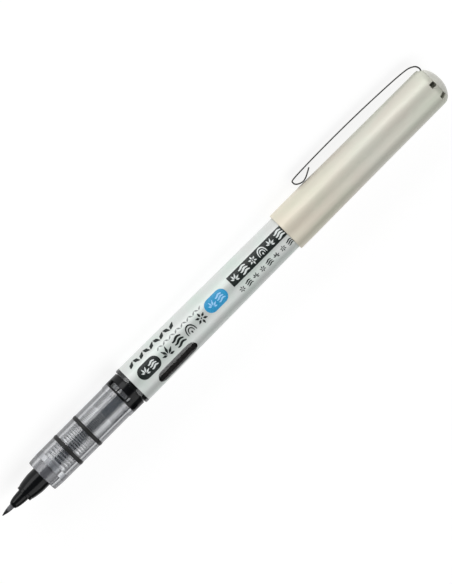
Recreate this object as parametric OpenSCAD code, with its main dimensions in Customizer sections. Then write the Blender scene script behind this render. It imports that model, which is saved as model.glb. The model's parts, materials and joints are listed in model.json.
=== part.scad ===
// Calligraphy marker with a free-ink feed, a felt brush nib and a posted cap.
// The pen lies on a flat surface and rests on its cap and clip.
//
// Pen frame: x runs along the pen's axis from the nib tip to the crown, the clip stands
// out along +Y, and a bearing of 0 degrees is +Z. Bearings grow away from the clip.
// Own frame: the pen frame, turned about the axis until the clip touches the surface,
// with the origin on that surface below the middle of the outer box.

/* [Nib and nose cone] */
// Length of felt that stands out of the nose cone
nib_reach = 3.4; // [3:0.1:4]
// Diameter of the felt rod
nib_d = 1.36; // [1.2:0.02:1.5]
// Diameter of the rounded nib tip
nib_tip_d = 0.3; // [0.2:0.02:0.5]
// Length of nose cone in front of the grip section
nose_length = 10.3; // [9.8:0.1:11]
// Largest diameter of the nose cone
nose_d = 5.72; // [5.4:0.02:5.9]

/* [Grip section] */
// Length of the clear grip section, flange included
section_length = 27.2; // [27:0.1:28]
// Outer diameter of the grip section
section_d = 9.58; // [9.4:0.02:9.7]
// Diameter of the flange at the back of the section
flange_d = 9.92; // [9.9:0.01:9.94]
// Diameter of the feed chamber inside the section
chamber_d = 7; // [6.9:0.05:7.1]
// Width of the two elastic grip rings
grip_ring_w = 0.96; // [0.8:0.02:1.1]
// Width of the black ring between section and barrel
joint_ring_w = 3.5; // [3.3:0.1:4]

/* [Collector] */
// Diameter of the collector's fins
fin_d = 6.8; // [6.6:0.05:6.85]
// Diameter of the collector's core between the fins
collector_core_d = 3.3; // [3:0.05:3.6]
// Distance between the first two gaps of the comb
first_pitch = 0.95; // [0.9:0.01:0.96]
// Each wide gap's pitch as a share of the one before
pitch_ratio = 0.958; // [0.95:0.001:0.96]
// Pitch of the fine fins at the back of the comb
fine_pitch = 0.46; // [0.42:0.01:0.47]

/* [Barrel] */
// Length of the barrel tube
barrel_length = 83.1; // [82:0.1:83.1]
// Diameter of the film at the front of the barrel
barrel_front_d = 10.64; // [10.5:0.02:10.7]
// Diameter of the film at the back of the barrel
barrel_back_d = 9.27; // [9.1:0.01:9.3]
// Diameter of the bare lip at the front of the barrel
lip_d = 10.76; // [10.7:0.02:10.9]
// Thickness of the printed film round the barrel
film_t = 0.1; // [0.06:0.01:0.12]
// Thickness of the clear tube's wall
barrel_wall = 0.85; // [0.7:0.05:0.9]
// Length of the window through which the ink shows
window_length = 12.9; // [10:0.1:14]
// Width of the ink window
window_w = 3.7; // [3:0.1:4]

/* [Cap] */
// Length of the cap, crown included
cap_length = 53.6; // [53.2:0.1:54.5]
// Largest diameter of the cap
cap_d = 11.2; // [11.1:0.02:11.4]
// Diameter of the cap's bore at its mouth
cap_mouth_d = 10; // [9.96:0.02:10.06]
// How much of the barrel the posted cap covers
posted_overlap = 29.3; // [28:0.1:29.3]
// Width of the notches at the end of the cap
notch_w = 1.36; // [1:0.02:1.6]

/* [Clip] */
// Width of the spring steel strip
clip_w = 3; // [2.6:0.1:3.2]
// Thickness of the strip
clip_t = 0.35; // [0.3:0.01:0.4]
// Greatest distance of the strip's middle from the pen's axis
clip_reach = 8.18; // [8.1:0.01:8.3]
// Length of the clip from its root to its curl
clip_length = 41.4; // [40:0.1:42]

/* [Hidden] */
$fn = 96;

// Places along the pen, counted from the nib tip
nose_x = nib_reach;
section_x = nose_x + nose_length;
section_end = section_x + section_length;
ring_end = section_end + joint_ring_w;
barrel_x = ring_end + 0.2;
barrel_end = barrel_x + barrel_length;
cap_x = barrel_end - posted_overlap;
pen_length = cap_x + cap_length;

// Grip section: front recess for the inner cap's lip, bulkhead, chamber, rear spigot
recess_d = 6.6;
recess_end = section_x + 2.9;
bulkhead_end = recess_end + 1.5;
collar_d = 4.6;
flange_w = 1.44;
spigot_d = 8.7;
spigot_end = section_end + 11;
skirt_d = 9.2;
skirt_end = barrel_x + 1.6;
ring_places = [section_x + 8.72, section_x + 15.38];
ring_depth = 0.5;
ring_crown = 0.09;

// Feed: the nose cone is pressed on the collector's spigot, the collector's hub seals the
// chamber, and the core runs from nib to ink
feed_spigot_d = 3;
feed_spigot_length = 1.5;
core_d = 2;
comb_end = section_x + 21.36;
hub_x = comb_end + 0.6;
hub_end = section_end + 3.1;
core_end = hub_end + 2;
wide_gaps = 15;
fine_gaps = 10;
gap_share = 0.52;
first_fin_x = bulkhead_end + 0.44;
first_gap = first_fin_x + 0.7;

// Barrel: lip, taper, window and tail
lip_w = 1.1;
barrel_slope = (barrel_front_d - barrel_back_d) / 2 / (barrel_length - lip_w);
window_x = barrel_x + 6.2;
window_bearing = 49;
ink_end = barrel_x + 66;
plug_depth = 5;
film_end = barrel_end - 0.8;

// Cap: the dome is half an ellipse that the shell and the crown share
dome_length = 3.5;
dome_x = pen_length - dome_length;
dome_r = cap_d / 2 - 0.255;
shell_end = pen_length - 1.8;
bore_back_r = 4.75;
crown_seat_r = 4.1;
seat_x = shell_end - 2;
inner_mouth = cap_x + 29.6;
inner_end = cap_x + 46.2;
crown_foot = inner_end + 0.8;
notch_depth = 1.45;
notch_bearings = [0, 45, 135, 180];
crown_bore_r = 3.2;
crown_post_r = 1.9;
crown_roof_x = shell_end - 0.1;
clip_slot_depth = 0.9;

// Clip: tongue, root bend, bowed arm and curl
clip_bearing = -90;
root_x = shell_end - 0.25;
tongue_y = 2.6;
arm_crest = shell_end - 27.7;
arm_bow = 0.00135;
curl_x = shell_end - clip_length;
slot_room = 0.25;

// How the pen lies: the clip drops until its outer corner is level with the cap's belly
corner_y = clip_reach + clip_t / 2;
corner_r = sqrt(corner_y * corner_y + clip_w * clip_w / 4);
corner_angle = atan2(clip_w / 2, corner_y);
clip_drop = asin(cap_d / 2 / corner_r) - corner_angle;
clip_side = corner_r * cos(clip_drop - corner_angle);
side_shift = (cap_d / 2 - clip_side) / 2;

// Points of a circular arc in the x-y plane, from angle a to angle b
function arc(centre, radius, a, b, steps) = [
    for (i = [0 : steps])
        let (t = a + (b - a) * i / steps)
        centre + radius * [cos(t), sin(t)]
];

// A smooth line through points, with a number of steps from each to the next
function smooth_line(points, steps) =
    let (last = len(points) - 1)
    concat(
        [
            for (i = [0 : last - 1], k = [0 : steps - 1])
                let (
                    a = points[max(i - 1, 0)],
                    b = points[i],
                    c = points[i + 1],
                    d = points[min(i + 2, last)],
                    t = k / steps
                )
                b + (c - a) * t / 2 + (2 * a - 5 * b + 4 * c - d) * t * t / 2
                    + (3 * b - a - 3 * c + d) * t * t * t / 2
        ],
        [points[last]]
    );

// Radius of the film, the barrel tube and its bore at a place along the pen
function film_r(x) = barrel_front_d / 2 - barrel_slope * (x - barrel_x - lip_w);
function tube_r(x) = film_r(x) - film_t;
function bore_r(x) = tube_r(x) - barrel_wall;

// Radius of the cap's dome at a place along the pen
function dome(x) = dome_r * sqrt(max(0, 1 - pow((x - dome_x) / dome_length, 2)));

// Middle of each gap in the comb: wide gaps that close up, then evenly spaced fine ones
function wide_gap(i) = first_gap + first_pitch * (1 - pow(pitch_ratio, i)) / (1 - pitch_ratio);
function wide_pitch(i) = first_pitch * pow(pitch_ratio, i);

module pen_frame() {
    translate([-pen_length / 2, side_shift, cap_d / 2])
        rotate([-clip_drop, 0, 0])
            children();
}

// Turns an outline of [x, radius] points about the pen's axis
module turned(outline) {
    rotate([0, 90, 0])
        rotate_extrude()
            polygon([for (p = outline) [p[1], p[0]]]);
}

module rod(from, to, d) {
    translate([from, 0, 0])
        rotate([0, 90, 0])
            cylinder(d = d, h = to - from);
}

// A wedge from the axis between two bearings, for cutting windows
module wedge(from, to, bearing_a, bearing_b) {
    reach = 6;
    middle = (bearing_a + bearing_b) / 2;
    translate([from, 0, 0])
        rotate([90, 0, 90])
            linear_extrude(to - from)
                polygon([
                    [0, 0],
                    for (b = [bearing_a, middle, bearing_b]) reach * [-sin(b), cos(b)]
                ]);
}

module nib() {
    tip_r = nib_tip_d / 2;
    color([0.24, 0.24, 0.25])
        pen_frame()
            turned(concat(
                arc([tip_r, 0], tip_r, 180, 110, 6),
                [
                    [0.9, 0.35], [1.6, 0.52], [2.6, 0.64], [nib_reach, nib_d / 2],
                    [bulkhead_end, nib_d / 2], [bulkhead_end, 0]
                ]
            ));
}

module nose_cone() {
    tip_edge = 0.3;
    nib_r = nib_d / 2;
    spigot_r = feed_spigot_d / 2;
    socket_x = recess_end - feed_spigot_length;
    step_x = nose_x + 4;
    color([0.06, 0.06, 0.07])
        pen_frame()
            turned(concat(
                [[nose_x, nib_r]],
                arc([nose_x + tip_edge, nib_r + 0.06], tip_edge, 180, 90, 5),
                [
                    [nose_x + 0.75, 1.21], [nose_x + 1.7, 1.42], [nose_x + 2.7, 1.54],
                    [step_x - 0.1, 1.62], [step_x, 2.2], [step_x + 0.75, 2.25],
                    [step_x + 0.9, 2.35], [step_x + 1.65, 2.52], [step_x + 2.65, 2.68],
                    [step_x + 3.65, 2.82], [step_x + 4.2, nose_d / 2],
                    [recess_end, nose_d / 2], [recess_end, spigot_r],
                    [socket_x, spigot_r], [socket_x, nib_r]
                ]
            ));
}

module relay_core() {
    color([0.1, 0.11, 0.14])
        pen_frame()
            rod(bulkhead_end, core_end, core_d);
}

module collector() {
    slot_w = 0.8;
    slot_floor = collector_core_d / 2 + 0.1;
    channel_w = 0.6;
    channel_depth = 0.3;
    channel_bearing = 180;
    overcut = 1;
    nib_r = nib_d / 2;
    spigot_r = feed_spigot_d / 2;
    spigot_x = recess_end - feed_spigot_length;
    collar_r = collar_d / 2;
    fin_r = fin_d / 2;
    root_r = collector_core_d / 2;
    fine_start = wide_gap(wide_gaps);
    gaps = concat(
        [for (i = [0 : wide_gaps]) [wide_gap(i), wide_pitch(i) * gap_share]],
        [for (i = [1 : fine_gaps]) [fine_start + i * fine_pitch, fine_pitch * gap_share]],
        [[(comb_end + hub_x) / 2, hub_x - comb_end]]
    );
    color([0.62, 0.64, 0.66])
        pen_frame()
            difference() {
                turned(concat(
                    [
                        [bulkhead_end, core_d / 2], [bulkhead_end, nib_r], [spigot_x, nib_r],
                        [spigot_x, spigot_r], [recess_end, spigot_r], [recess_end, collar_r],
                        [bulkhead_end, collar_r], [bulkhead_end, root_r],
                        [first_fin_x, root_r], [first_fin_x, fin_r]
                    ],
                    [
                        for (g = gaps, side = [-1, 1], deep = [0, 1])
                            [g[0] + side * g[1] / 2, deep == (side + 1) / 2 ? fin_r : root_r]
                    ],
                    [
                        [hub_x, chamber_d / 2], [hub_end, chamber_d / 2],
                        [hub_end, core_d / 2]
                    ]
                ));
                rotate([channel_bearing, 0, 0]) {
                    translate([bulkhead_end, -slot_w / 2, slot_floor])
                        cube([comb_end - bulkhead_end + 0.1, slot_w, fin_d]);
                    translate([recess_end - overcut, -channel_w / 2, collar_r - channel_depth])
                        cube([bulkhead_end - recess_end + 1.5 * overcut, channel_w, overcut]);
                }
            }
}

module grip_section() {
    edge = 0.3;
    front_r = 4.57;
    taper_length = 2.74;
    flange_edge = 0.1;
    flange_x = section_end - flange_w;
    outer_r = section_d / 2;
    color([0.85, 0.87, 0.88, 0.45])
        pen_frame()
            difference() {
                turned(concat(
                    [[section_x, recess_d / 2]],
                    arc([section_x + edge, front_r - edge], edge, 180, 90, 6),
                    [[section_x + taper_length, outer_r], [flange_x, outer_r]],
                    arc([flange_x + flange_edge, flange_d / 2 - flange_edge], flange_edge, 180, 90, 2),
                    [
                        [section_end, flange_d / 2], [section_end, spigot_d / 2],
                        [spigot_end, spigot_d / 2], [spigot_end, chamber_d / 2],
                        [bulkhead_end, chamber_d / 2], [bulkhead_end, collar_d / 2],
                        [recess_end, collar_d / 2], [recess_end, recess_d / 2]
                    ]
                ));
                for (x = ring_places)
                    difference() {
                        rod(x, x + grip_ring_w, section_d + 2);
                        rod(x - 1, x + grip_ring_w + 1, section_d - 2 * ring_depth);
                    }
            }
}

// One elastic ring in its groove, its outer face crowned just proud of the section
module grip_ring(x) {
    steps = 8;
    inner_r = section_d / 2 - ring_depth;
    edge_r = section_d / 2 - 0.02;
    color([0.07, 0.07, 0.07])
        pen_frame()
            turned(concat(
                [[x, inner_r]],
                [
                    for (i = [0 : steps])
                        let (share = i / steps)
                        [x + grip_ring_w * share, edge_r + ring_crown * sin(180 * share)]
                ],
                [[x + grip_ring_w, inner_r]]
            ));
}

// Black ring with windows all round; its skirt lines the barrel's clear lip
module joint_ring() {
    edge = 0.08;
    outer_r = flange_d / 2;
    skirt_r = skirt_d / 2;
    window_from = section_end + 0.5;
    window_to = section_end + 1.75;
    windows = [[-71, -23], [-20, 15], [18, 27], [48, 64]];
    color([0.06, 0.07, 0.07])
        pen_frame()
            difference() {
                turned([
                    [section_end, spigot_d / 2], [section_end, outer_r],
                    [ring_end - edge, outer_r], [ring_end, outer_r - edge],
                    [ring_end, skirt_r], [skirt_end, skirt_r], [skirt_end, spigot_d / 2]
                ]);
                for (turn = [0, 180], w = windows)
                    wedge(window_from, window_to, turn + w[0], turn + w[1]);
            }
}

module barrel() {
    lip_r = lip_d / 2;
    lip_end = barrel_x + lip_w;
    front_edge = 0.35;
    seat_end = barrel_end - plug_depth;
    color([0.8, 0.82, 0.82, 0.4])
        pen_frame()
            turned(concat(
                [[barrel_x, skirt_d / 2]],
                arc([barrel_x + front_edge, lip_r - front_edge], front_edge, 180, 90, 5),
                [
                    [lip_end, lip_r], [lip_end, tube_r(lip_end)],
                    [film_end, tube_r(film_end)], [film_end, film_r(film_end)],
                    [barrel_end, film_r(barrel_end)], [barrel_end, bore_r(seat_end)],
                    [seat_end, bore_r(seat_end)], [spigot_end, bore_r(spigot_end)],
                    [spigot_end, spigot_d / 2], [skirt_end, spigot_d / 2],
                    [skirt_end, skirt_d / 2]
                ]
            ));
}

module barrel_film() {
    start = barrel_x + lip_w;
    half_w = window_w / 2;
    color([0.78, 0.82, 0.8])
        pen_frame()
            difference() {
                turned([
                    [start, tube_r(start)], [start, film_r(start)],
                    [film_end, film_r(film_end)], [film_end, tube_r(film_end)]
                ]);
                rotate([window_bearing, 0, 0])
                    translate([window_x + half_w, 0, 0])
                        linear_extrude(barrel_front_d) {
                            circle(d = window_w);
                            translate([window_length - window_w, 0])
                                circle(d = window_w);
                            translate([0, -half_w])
                                square([window_length - window_w, window_w]);
                        }
            }
}

module ink_charge() {
    color([0.05, 0.04, 0.04])
        pen_frame()
            difference() {
                turned([
                    [hub_end, 0], [hub_end, chamber_d / 2], [spigot_end, chamber_d / 2],
                    [spigot_end, bore_r(spigot_end)], [ink_end, bore_r(ink_end)], [ink_end, 0]
                ]);
                rod(hub_end - 1, core_end, core_d);
            }
}

module tail_plug() {
    seat_x = barrel_end - plug_depth;
    hollow_end = barrel_end - 1.2;
    hollow_r = 2.6;
    color([0.2, 0.21, 0.22])
        pen_frame()
            turned([
                [seat_x, hollow_r], [seat_x, bore_r(seat_x)], [barrel_end, bore_r(seat_x)],
                [barrel_end, 0], [hollow_end, 0], [hollow_end, hollow_r]
            ]);
}

module cap_shell() {
    rim_edge = 0.2;
    mouth_r = cap_mouth_d / 2;
    mouth_end = cap_x + 5.5;
    bore_end = cap_x + 31;
    bore_step = cap_x + 33;
    bore_end_r = mouth_r - 0.14;
    rim_r = cap_d / 2 - 0.025;
    belly_x = cap_x + 4.6;
    waist_x = cap_x + 24.6;
    waist_r = cap_d / 2 - 0.15;
    slot_w = clip_w + 2 * slot_room;
    color([0.9, 0.88, 0.84])
        pen_frame()
            difference() {
                turned(concat(
                    [[cap_x, mouth_r]],
                    arc([cap_x + rim_edge, rim_r - rim_edge], rim_edge, 180, 90, 4),
                    [[belly_x, cap_d / 2], [waist_x, waist_r]],
                    [for (i = [0 : 6]) let (x = dome_x + (shell_end - dome_x) * i / 6) [x, dome(x)]],
                    [
                        [shell_end, crown_seat_r], [seat_x, crown_seat_r], [seat_x, bore_back_r],
                        [bore_step, bore_back_r], [bore_end, bore_end_r],
                        [mouth_end, mouth_r]
                    ]
                ));
                for (b = notch_bearings)
                    rotate([b, 0, 0])
                        translate([shell_end - notch_depth, -notch_w / 2, crown_seat_r - 0.5])
                            cube([2 * notch_depth, notch_w, 3]);
                rotate([clip_bearing, 0, 0])
                    translate([shell_end - clip_slot_depth, -slot_w / 2, crown_seat_r - 0.5])
                        cube([2, slot_w, 3]);
            }
}

module inner_cap() {
    lip_r = 3.2;
    lip_edge = 0.1;
    lip_end = inner_mouth + 2;
    cup_r = 3.5;
    cup_x = inner_mouth + 3;
    flange_x = inner_end - 1;
    hollow_r = 2.95;
    color([0.93, 0.93, 0.92])
        pen_frame()
            turned([
                [inner_mouth, hollow_r], [inner_mouth, lip_r - lip_edge / 2],
                [inner_mouth + lip_edge, lip_r], [lip_end, lip_r],
                [cup_x, cup_r], [flange_x, cup_r],
                [flange_x, bore_back_r], [crown_foot, bore_back_r],
                [crown_foot, 0], [inner_end, 0], [inner_end, hollow_r]
            ]);
}

module crown() {
    slot_w = clip_w + 2 * slot_room;
    vent_rim = 0.05;
    dome_steps = 10;
    dome_start = asin((shell_end - dome_x) / dome_length);
    color([0.82, 0.84, 0.84])
        pen_frame()
            difference() {
                turned(concat(
                    [
                        [crown_foot, crown_bore_r], [crown_foot, crown_seat_r],
                        [shell_end, crown_seat_r]
                    ],
                    [
                        for (i = [0 : dome_steps])
                            let (a = dome_start + (90 - dome_start) * i / dome_steps)
                            [dome_x + dome_length * sin(a), dome_r * cos(a)]
                    ],
                    [
                        [crown_foot, 0], [crown_foot, crown_post_r], [crown_roof_x, crown_post_r],
                        [crown_roof_x, crown_bore_r]
                    ]
                ));
                rotate([clip_bearing, 0, 0])
                    translate([shell_end - clip_slot_depth, -slot_w / 2, tongue_y - slot_room])
                        cube([clip_slot_depth + 0.2, slot_w, crown_seat_r]);
                for (b = notch_bearings)
                    rotate([b, 0, 0])
                        translate([shell_end - notch_depth, -notch_w / 2, crown_bore_r - 0.4])
                            cube([notch_depth - vent_rim, notch_w, 3]);
            }
}

// Middle line of the clip's strip, from the tongue under the crown to the free end
function clip_line() = smooth_line(concat(
    [[root_x, tongue_y], [root_x, 3.5], [root_x + 0.02, 4.4]],
    [
        [root_x + 0.18, 5.2], [root_x - 0.1, 6.05], [root_x - 0.9, 6.7],
        [root_x - 2.4, 7.2]
    ],
    [
        for (i = [0 : 6])
            let (x = root_x - 6 - 5.2 * i)
            [x, clip_reach - arm_bow * pow(x - arm_crest, 2)]
    ],
    [
        [curl_x, 7.83], [curl_x - 0.5, 7.2], [curl_x - 0.25, 6.55],
        [curl_x + 0.55, 6.02], [curl_x + 1.5, 5.79], [curl_x + 2.5, 5.96],
        [curl_x + 3.8, 6.58], [curl_x + 5, 7.25]
    ]
), 3);

module clip() {
    line = clip_line();
    last = len(line) - 1;
    function heading(i) = line[min(i + 1, last)] - line[max(i - 1, 0)];
    function across(i) = [-heading(i)[1], heading(i)[0]] / norm(heading(i));
    one_side = [for (i = [0 : last]) line[i] + across(i) * clip_t / 2];
    other_side = [for (i = [last : -1 : 0]) line[i] - across(i) * clip_t / 2];
    color([0.72, 0.73, 0.74])
        pen_frame()
            translate([0, 0, -clip_w / 2])
                linear_extrude(clip_w)
                    polygon(concat(one_side, other_side));
}

nib();
nose_cone();
relay_core();
collector();
grip_section();
grip_ring(ring_places[0]);  // front_grip_ring
grip_ring(ring_places[1]);  // rear_grip_ring
joint_ring();
barrel();
barrel_film();
ink_charge();
tail_plug();
cap_shell();
inner_cap();
crown();
clip();
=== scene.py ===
import json
import math

import bmesh
import bpy
from mathutils import Matrix, Vector
from mathutils.geometry import delaunay_2d_cdt


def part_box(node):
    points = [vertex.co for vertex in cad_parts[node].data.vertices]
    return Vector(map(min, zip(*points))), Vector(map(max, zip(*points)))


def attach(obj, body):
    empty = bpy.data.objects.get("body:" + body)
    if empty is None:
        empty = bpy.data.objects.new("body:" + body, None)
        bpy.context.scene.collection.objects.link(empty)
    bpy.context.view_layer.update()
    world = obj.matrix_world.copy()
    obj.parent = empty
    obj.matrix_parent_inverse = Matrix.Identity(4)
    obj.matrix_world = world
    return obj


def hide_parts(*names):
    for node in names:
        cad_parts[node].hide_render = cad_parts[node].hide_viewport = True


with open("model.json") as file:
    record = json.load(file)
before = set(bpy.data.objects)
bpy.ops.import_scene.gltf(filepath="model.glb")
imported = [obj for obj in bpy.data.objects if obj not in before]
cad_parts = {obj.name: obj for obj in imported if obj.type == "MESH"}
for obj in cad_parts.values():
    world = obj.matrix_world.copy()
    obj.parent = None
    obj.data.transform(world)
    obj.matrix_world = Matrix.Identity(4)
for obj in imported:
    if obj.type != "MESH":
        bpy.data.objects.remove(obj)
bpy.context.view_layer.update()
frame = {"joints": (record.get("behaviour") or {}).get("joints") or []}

# ---------------------------------------------------------------- the pen's own directions
# Places along the pen are in millimetres from the nib tip, and radii in millimetres from the
# pen's axis. A bearing of 0 degrees faces the camera, and -90 degrees is the clip's side.
MM = 0.001
AXIS = Vector((1, 0, 0))
CLIP_HINGE = next(j for j in frame["joints"] if j["name"] == "clip_flex")
FACE = -Vector(CLIP_HINGE["axis"]).normalized()
CLIP_SIDE = FACE.cross(AXIS)
BARREL_LOW, BARREL_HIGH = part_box("barrel")
MIDDLE = (BARREL_LOW + BARREL_HIGH) / 2
TIP = Vector((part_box("nib")[0].x, MIDDLE.y, MIDDLE.z))


def place(x, radius=0.0, bearing=0.0):
    """The point at a distance along the pen, a radius and a bearing in degrees."""
    turn = math.radians(bearing)
    out = FACE * math.cos(turn) - CLIP_SIDE * math.sin(turn)
    return TIP + (AXIS * x + out * radius) * MM


def span(node):
    """Where a CAD node starts and ends along the pen."""
    low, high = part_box(node)
    return (low.x - TIP.x) / MM, (high.x - TIP.x) / MM


def radius_of(node):
    """The largest radius of a turned CAD node."""
    low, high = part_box(node)
    return (high.y - low.y) / 2 / MM


SECTION_X, SPIGOT_END = span("grip_section")
JOINT_X, JOINT_END = span("joint_ring")
BARREL_X, BARREL_END = span("barrel")
FILM_X, FILM_END = span("barrel_film")
CAP_X, SHELL_END = span("cap_shell")
NOSE_X, RECESS_END = span("nose_cone")
BULKHEAD_END = span("nib")[1]
PEN_LENGTH = span("crown")[1]
FRONT_RING_X, REAR_RING_X = span("front_grip_ring")[0], span("rear_grip_ring")[0]


# ---------------------------------------------------------------- materials
def new_material(name, colour, roughness, **sockets):
    """A Principled material with its whole-surface values set on the shader's own sockets."""
    material = bpy.data.materials.new(name)
    material.use_nodes = True
    shader = material.node_tree.nodes["Principled BSDF"]
    shader.inputs["Base Color"].default_value = (*colour, 1)
    shader.inputs["Roughness"].default_value = roughness
    for socket, value in sockets.items():
        shader.inputs[socket.replace("_", " ")].default_value = value
    return material


def coordinates(material, stretch=(1, 1, 1)):
    """Object coordinates, scaled so that a pattern can run along the pen."""
    nodes, links = material.node_tree.nodes, material.node_tree.links
    source = nodes.new("ShaderNodeTexCoord")
    mapping = nodes.new("ShaderNodeMapping")
    mapping.inputs["Scale"].default_value = stretch
    links.new(source.outputs["Object"], mapping.inputs["Vector"])
    return mapping.outputs["Vector"]


def noise(material, per_mm, detail=3.0, stretch=(1, 1, 1)):
    """A noise pattern with per_mm features in a millimetre."""
    nodes, links = material.node_tree.nodes, material.node_tree.links
    texture = nodes.new("ShaderNodeTexNoise")
    texture.inputs["Scale"].default_value = per_mm / MM
    texture.inputs["Detail"].default_value = detail
    links.new(coordinates(material, stretch), texture.inputs["Vector"])
    return texture.outputs["Fac"]


def ramp(material, value, stops):
    """A colour ramp through (position, colour) stops."""
    node = material.node_tree.nodes.new("ShaderNodeValToRGB")
    elements = node.color_ramp.elements
    while len(elements) < len(stops):
        elements.new(0.5)
    for element, (position, colour) in zip(elements, stops):
        element.position = position
        element.color = (*colour, 1)
    material.node_tree.links.new(value, node.inputs["Fac"])
    return node.outputs["Color"]


def mix(material, share, first, second, blend="MIX"):
    """Two colours mixed by a share that is a number or a pattern."""
    nodes, links = material.node_tree.nodes, material.node_tree.links
    node = nodes.new("ShaderNodeMix")
    node.data_type = "RGBA"
    node.blend_type = blend
    for socket, value in ((node.inputs[0], share), (node.inputs[6], first), (node.inputs[7], second)):
        if isinstance(value, bpy.types.NodeSocket):
            links.new(value, socket)
        elif isinstance(value, tuple):
            socket.default_value = (*value, 1)
        else:
            socket.default_value = value
    return node.outputs[2]


def spread(material, value, low, high):
    """A pattern's middle range stretched to run from low to high."""
    nodes, links = material.node_tree.nodes, material.node_tree.links
    node = nodes.new("ShaderNodeMapRange")
    node.inputs["From Min"].default_value = 0.3
    node.inputs["From Max"].default_value = 0.7
    node.inputs["To Min"].default_value = low
    node.inputs["To Max"].default_value = high
    links.new(value, node.inputs["Value"])
    return node.outputs["Result"]


def along(material, start, end):
    """A value that runs from 0 to 1 between two places along the pen."""
    nodes, links = material.node_tree.nodes, material.node_tree.links
    split = nodes.new("ShaderNodeSeparateXYZ")
    node = nodes.new("ShaderNodeMapRange")
    node.inputs["From Min"].default_value = place(start).x
    node.inputs["From Max"].default_value = place(end).x
    links.new(coordinates(material), split.inputs["Vector"])
    links.new(split.outputs["X"], node.inputs["Value"])
    return node.outputs["Result"]


def paint(material, socket, value):
    """Drives one of the shader's sockets with a pattern."""
    shader = material.node_tree.nodes["Principled BSDF"]
    material.node_tree.links.new(value, shader.inputs[socket])


def colour_by(material, pattern, *stops):
    """Paints the base colour with a pattern through (position, colour) stops."""
    paint(material, "Base Color", ramp(material, pattern, stops))


def relief(material, height, depth_mm, strength=1.0):
    """Bump whose full height is depth_mm."""
    nodes, links = material.node_tree.nodes, material.node_tree.links
    bump = nodes.new("ShaderNodeBump")
    bump.inputs["Distance"].default_value = depth_mm * MM
    bump.inputs["Strength"].default_value = strength
    links.new(height, bump.inputs["Height"])
    paint(material, "Normal", bump.outputs["Normal"])


LENGTHWISE = (0.05, 1, 1)


def moulded(name, colour, darker, roughness, **sockets):
    """Moulded plastic: faint flow marks, fine surface grain and uneven polish."""
    material = new_material(name, colour, roughness, **sockets)
    flow = noise(material, 0.6, 4, LENGTHWISE)
    colour_by(material, flow, (0.35, darker), (0.62, colour))
    polish = noise(material, 2.2, 5)
    paint(material, "Roughness", spread(material, polish, roughness * 0.8, roughness * 1.35))
    relief(material, noise(material, 9, 4), 0.004, 0.4)
    return material


def felt():
    """Pressed fibre: streaks along the nib, wet and black at the tip."""
    material = new_material("felt", (0.12, 0.12, 0.13), 0.7, Specular_IOR_Level=0.2)
    streaks = noise(material, 14, 5, (0.12, 1, 1))
    dry = ramp(material, streaks, [(0.3, (0.045, 0.045, 0.05)), (0.7, (0.19, 0.19, 0.2))])
    wet_end, dry_start, ink = 1.5, 2.2, (0.008, 0.008, 0.01)
    wet = ramp(material, along(material, wet_end, dry_start), [(0.0, (1, 1, 1)), (1.0, (0, 0, 0))])
    paint(material, "Base Color", mix(material, wet, dry, ink))
    gloss = along(material, wet_end - 0.5, dry_start + 0.2)
    nodes, links = material.node_tree.nodes, material.node_tree.links
    level = nodes.new("ShaderNodeMapRange")
    level.inputs["To Min"].default_value = 0.35
    level.inputs["To Max"].default_value = 0.8
    links.new(gloss, level.inputs["Value"])
    paint(material, "Roughness", level.outputs["Result"])
    relief(material, streaks, 0.03, 0.8)
    return material


def soaked_fibre():
    """The relay's fibre bundle, dark with ink."""
    material = new_material("soaked_fibre", (0.02, 0.025, 0.035), 0.5)
    strands = noise(material, 10, 4, LENGTHWISE)
    colour_by(material, strands, (0.3, (0.01, 0.012, 0.02)), (0.7, (0.05, 0.06, 0.08)))
    relief(material, strands, 0.02, 0.6)
    return material


def milky():
    """The comb's milky plastic: thin enough that its inked core shows through the fins."""
    material = new_material("milky", (0.86, 0.87, 0.88), 0.3, Alpha=0.2, Specular_IOR_Level=0.15)
    stain = noise(material, 1.4, 4)
    colour_by(material, stain, (0.35, (0.8, 0.82, 0.84)), (0.65, (0.92, 0.92, 0.92)))
    paint(material, "Roughness", spread(material, noise(material, 3, 4), 0.22, 0.4))
    relief(material, noise(material, 8, 3), 0.004, 0.3)
    return material


def gap_ink_and_shade():
    """A dark half-clear film in the comb's gaps: partly ink that clings there, partly painted shade for
    the dark gaps between the fins.
    """
    material = new_material("gap_ink_and_shade_film", (0.1, 0.11, 0.13), 0.25, Alpha=0.66)
    patchy = noise(material, 1.2, 4)
    colour_by(material, patchy, (0.35, (0.05, 0.057, 0.07)), (0.65, (0.11, 0.12, 0.135)))
    paint(material, "Roughness", spread(material, noise(material, 4, 3), 0.18, 0.32))
    return material


SMOKE = (0.46, 0.48, 0.52, 1)
SHADOW_ALPHA = 0.2


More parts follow.
